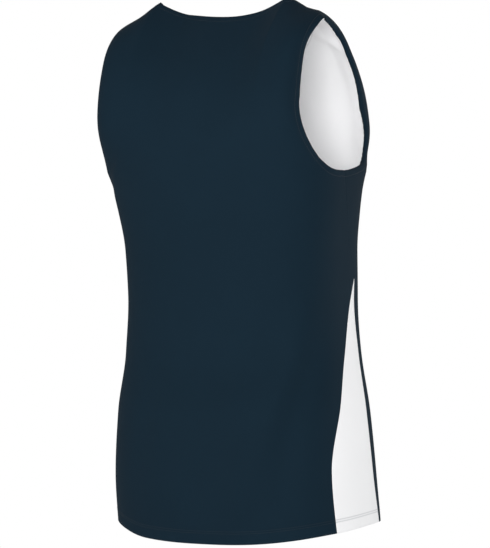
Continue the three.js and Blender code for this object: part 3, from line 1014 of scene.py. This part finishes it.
def thread_material(name, colour):
    material = bpy.data.materials.new(name)
    material.use_nodes = True
    tree = material.node_tree
    shader = tree.nodes["Principled BSDF"]
    shader.inputs["Roughness"].default_value = THREAD_ROUGHNESS
    where = tree.nodes.new("ShaderNodeTexCoord")
    twist = tree.nodes.new("ShaderNodeTexNoise")
    twist.inputs["Scale"].default_value = THREAD_TWIST
    tree.links.new(where.outputs["Object"], twist.inputs["Vector"])
    shadow_colour = tuple(c * THREAD_SHADOW for c in colour[:3]) + (1,)
    shade = blend(tree, twist.outputs[0], shadow_colour, colour)
    tree.links.new(shade, shader.inputs["Base Color"])
    return material


navy_knit = cloth_material(
    "navy knit",
    colour=linear(14, 33, 45),
    shadow_colour=linear(10, 26, 36),
    groove_shade_colour=linear(11, 28, 39),
    bump=0.35,
)
# Both whites are one white knit: the insert's is painted darker, as shade where the lamps light it
# more, and the lining's lighter, as painted light inside where they reach less
white_knit = cloth_material(
    "white knit",
    colour=linear(231, 231, 232),
    shadow_colour=linear(222, 223, 224),
    groove_shade_colour=linear(196, 197, 199),
    bump=0.3,
)
lining_painted_light = cloth_material(
    "white lining painted light",
    colour=linear(251, 251, 252),
    shadow_colour=linear(245, 245, 246),
    groove_shade_colour=linear(232, 233, 234),
    bump=0.3,
)
navy_thread = thread_material("navy thread", linear(17, 37, 49))
# The white thread is painted grey, as shade along the sewn lines
white_thread_painted_shade = thread_material("white thread painted shade", linear(216, 217, 220))


# The pieces of cloth
STITCHING = stitching_tree()
armhole_places, armhole_outward = armhole_rims()
neck_places = neck_rim()


def both_halves(panel, is_lining):
    p, q, facing_q = half_panel(panel, is_lining)
    return [(panel, p, q, facing_q, 1), (panel, p, q, facing_q, -1)]


insert_p, insert_q, insert_facing = insert_grid()
sheets = {
    "back_outer": make_sheet(both_halves(BACK, False)),
    "front_outer": make_sheet(both_halves(FRONT, False)),
    "side_insert_left": make_sheet([(BACK, insert_p, insert_q, insert_facing, 1)]),
    "side_insert_right": make_sheet([(BACK, insert_p, insert_q, insert_facing, -1)]),
    "back_inner": make_sheet(both_halves(BACK, True)),
    "front_inner": make_sheet(both_halves(FRONT, True)),
}
panel_look = {
    "depth": OUTER_DEPTH,
    "cloth": navy_knit,
    "thread": navy_thread,
    "slot": "navy_knit",
}
insert_look = {
    "depth": OUTER_DEPTH,
    "cloth": white_knit,
    "thread": white_thread_painted_shade,
    "slot": "white_knit",
}
lining_look = {
    "depth": LINING_DEPTH,
    "cloth": lining_painted_light,
    "thread": white_thread_painted_shade,
    "slot": "white_knit",
}
looks = {
    "back_outer": panel_look,
    "front_outer": panel_look,
    "side_insert_left": insert_look,
    "side_insert_right": insert_look,
    "back_inner": lining_look,
    "front_inner": lining_look,
}
# Each piece's cloth and sewing, fixed to the root, with its solid hidden
for node, sheet in sheets.items():
    look = looks[node]
    piece = cloth_object(node + "_cloth", sheet, look["depth"], look["cloth"])
    sewing = stitched_lines(node + "_sewing", sheet, look["depth"], look["thread"])
    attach(piece, "root")
    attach(sewing, "root")
    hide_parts(node)


# Floor, light and camera
def camera_at_photo_angle():
    azimuth, pitch = math.radians(VIEW_AZIMUTH), math.radians(VIEW_PITCH)
    sideways, backwards = math.sin(azimuth), -math.cos(azimuth)
    to_camera = Vector(
        (sideways * math.cos(pitch), backwards * math.cos(pitch), math.sin(pitch))
    )
    right = Vector((math.cos(azimuth), math.sin(azimuth), 0))
    target = right * ((PHOTO_WIDE / 2 - AXIS_PIXEL) * MM_PER_PIXEL / MM_PER_METRE)
    target.z -= (PHOTO_HIGH / 2 - TOP_PIXEL) * MM_PER_PIXEL / MM_PER_METRE
    camera = bpy.data.cameras.new("camera")
    pixels_away = VIEW_DISTANCE * MM_PER_METRE / MM_PER_PIXEL
    camera.lens = pixels_away * camera.sensor_width / PHOTO_HIGH
    camera.clip_end = FARTHEST_SEEN
    holder = bpy.data.objects.new("camera", camera)
    holder.location = target + to_camera * VIEW_DISTANCE
    holder.rotation_mode = "QUATERNION"
    holder.rotation_quaternion = (-to_camera).to_track_quat("-Z", "Y")
    bpy.context.scene.collection.objects.link(holder)
    bpy.context.scene.camera = holder
    return to_camera, right


def soft_light(name, place, aim, size, power):
    light = bpy.data.lights.new(name, "AREA")
    light.shape = "DISK"
    light.size = size
    light.energy = power
    holder = bpy.data.objects.new(name, light)
    holder.location = place
    holder.rotation_mode = "QUATERNION"
    holder.rotation_quaternion = (aim - place).to_track_quat("-Z", "Y")
    bpy.context.scene.collection.objects.link(holder)


# Shows as plain white, while it lights the rest as lit does
def show_white(tree, lit, white, surface):
    white.inputs["Color"].default_value = PURE_WHITE
    white.inputs["Strength"].default_value = 1.0
    ray = tree.nodes.new("ShaderNodeLightPath")
    choose = tree.nodes.new("ShaderNodeMixShader")
    tree.links.new(ray.outputs["Is Camera Ray"], choose.inputs[0])
    tree.links.new(lit.outputs[0], choose.inputs[1])
    tree.links.new(white.outputs[0], choose.inputs[2])
    tree.links.new(choose.outputs[0], surface)


def pale_floor():
    ring = []
    for i in range(FLOOR_SIDES):
        turn = 2 * math.pi * i / FLOOR_SIDES
        ring.append((FLOOR_REACH * math.cos(turn), FLOOR_REACH * math.sin(turn), FLOOR_HEIGHT))
    mesh = bpy.data.meshes.new("floor")
    mesh.from_pydata(ring, [], [list(range(FLOOR_SIDES))])
    material = bpy.data.materials.new("pale floor")
    material.use_nodes = True
    tree = material.node_tree
    shader = tree.nodes["Principled BSDF"]
    shader.inputs["Base Color"].default_value = (FLOOR_GREY, FLOOR_GREY, FLOOR_GREY, 1)
    shader.inputs["Roughness"].default_value = 1.0
    shader.inputs["Specular IOR Level"].default_value = 0.0
    white = tree.nodes.new("ShaderNodeEmission")
    show_white(tree, shader, white, tree.nodes["Material Output"].inputs["Surface"])
    mesh.materials.append(material)
    floor = bpy.data.objects.new("floor", mesh)
    bpy.context.scene.collection.objects.link(floor)


def white_room():
    room = bpy.data.worlds.new("studio")
    room.use_nodes = True
    tree = room.node_tree
    lighting = tree.nodes["Background"]
    lighting.inputs["Color"].default_value = PURE_WHITE
    lighting.inputs["Strength"].default_value = ROOM_LIGHT
    backdrop = tree.nodes.new("ShaderNodeBackground")
    show_white(tree, lighting, backdrop, tree.nodes["World Output"].inputs["Surface"])
    bpy.context.scene.world = room


to_camera, to_right = camera_at_photo_angle()
middle = Vector((0, 0, MIDDLE_HEIGHT))
for light in LIGHTS:
    place = middle + to_camera * light["nearer"] + to_right * light["right"]
    place.z += light["up"]
    soft_light(light["name"], place, middle, light["size"], light["power"])
pale_floor()
white_room()
bpy.context.scene.view_settings.view_transform = "Standard"
